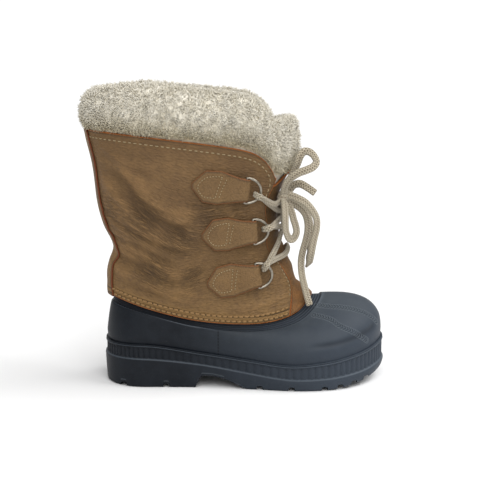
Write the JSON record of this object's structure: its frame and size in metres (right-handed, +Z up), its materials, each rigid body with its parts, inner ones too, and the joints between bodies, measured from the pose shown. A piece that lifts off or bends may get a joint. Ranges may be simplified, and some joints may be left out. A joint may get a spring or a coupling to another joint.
{
  "type": "snow boot",
  "caption": "Laced snow boot: ribbed rubber sole and moulded rubber foot, leather shaft, shearling cuff and tongue, leather tabs with D-rings, tied bow.",
  "frame": {"origin": "on the floor under the middle of the heel, on the heel's flat tread", "axes": "+X towards the toe, +Y towards the inner side of the foot, +Z up"},
  "size_m": [0.2564, 0.0966, 0.2508],
  "materials": {
    "tread_rubber": "matt moulded rubber",
    "shell_rubber": "satin blue-grey rubber",
    "felt": "felt",
    "leather": "oiled pebbled leather",
    "tab_leather": "oiled leather with raw edges",
    "shearling": "deep cream pile",
    "nickel": "nickel-plated wire",
    "lace": "braided cotton"
  },
  "bodies": {
    "root": {"outsole": "tread_rubber", "rubber_shell": "shell_rubber", "insole": "felt", "leather_upper": "leather", "backstay": "leather", "tongue": "leather", "shearling_cuff": "shearling", "tongue_shearling": "shearling", "lace_tab_outer_low": "tab_leather", "d_ring_outer_low": "nickel", "lace_tab_outer_middle": "tab_leather", "d_ring_outer_middle": "nickel", "lace_tab_outer_top": "tab_leather", "d_ring_outer_top": "nickel", "lace_tab_inner_low": "tab_leather", "d_ring_inner_low": "nickel", "lace_tab_inner_middle": "tab_leather", "d_ring_inner_middle": "nickel", "lace_tab_inner_top": "tab_leather", "d_ring_inner_top": "nickel", "lace_bars": "lace", "lace_knot": "lace", "lace_loop_a": "lace", "lace_end_a": "lace", "lace_loop_b": "lace", "lace_loop_c": "lace", "lace_end_b": "lace"}
  },
  "joints": []
}
